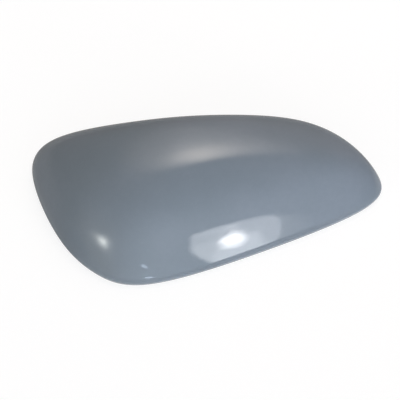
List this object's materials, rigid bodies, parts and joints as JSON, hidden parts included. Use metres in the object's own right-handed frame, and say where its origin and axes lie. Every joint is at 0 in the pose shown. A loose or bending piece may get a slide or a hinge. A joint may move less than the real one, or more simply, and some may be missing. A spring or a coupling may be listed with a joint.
{
  "type": "wing mirror cover",
  "caption": "Primed grey plastic cover that clips over the back of a car's wing mirror housing, open on the mirror side.",
  "frame": {"origin": "middle of the bounding box in the rim plane on which the cover lies", "axes": "+X along the cover from the broad end to the nose, +Z from the open rim to the crown, -Y is the near long side that bows gently"},
  "size_m": [0.2386, 0.1327, 0.06],
  "materials": {
    "primed_plastic": "satin grey primer over injection-moulded ABS"
  },
  "bodies": {
    "root": {"mirror_cover": "primed_plastic"}
  },
  "joints": []
}
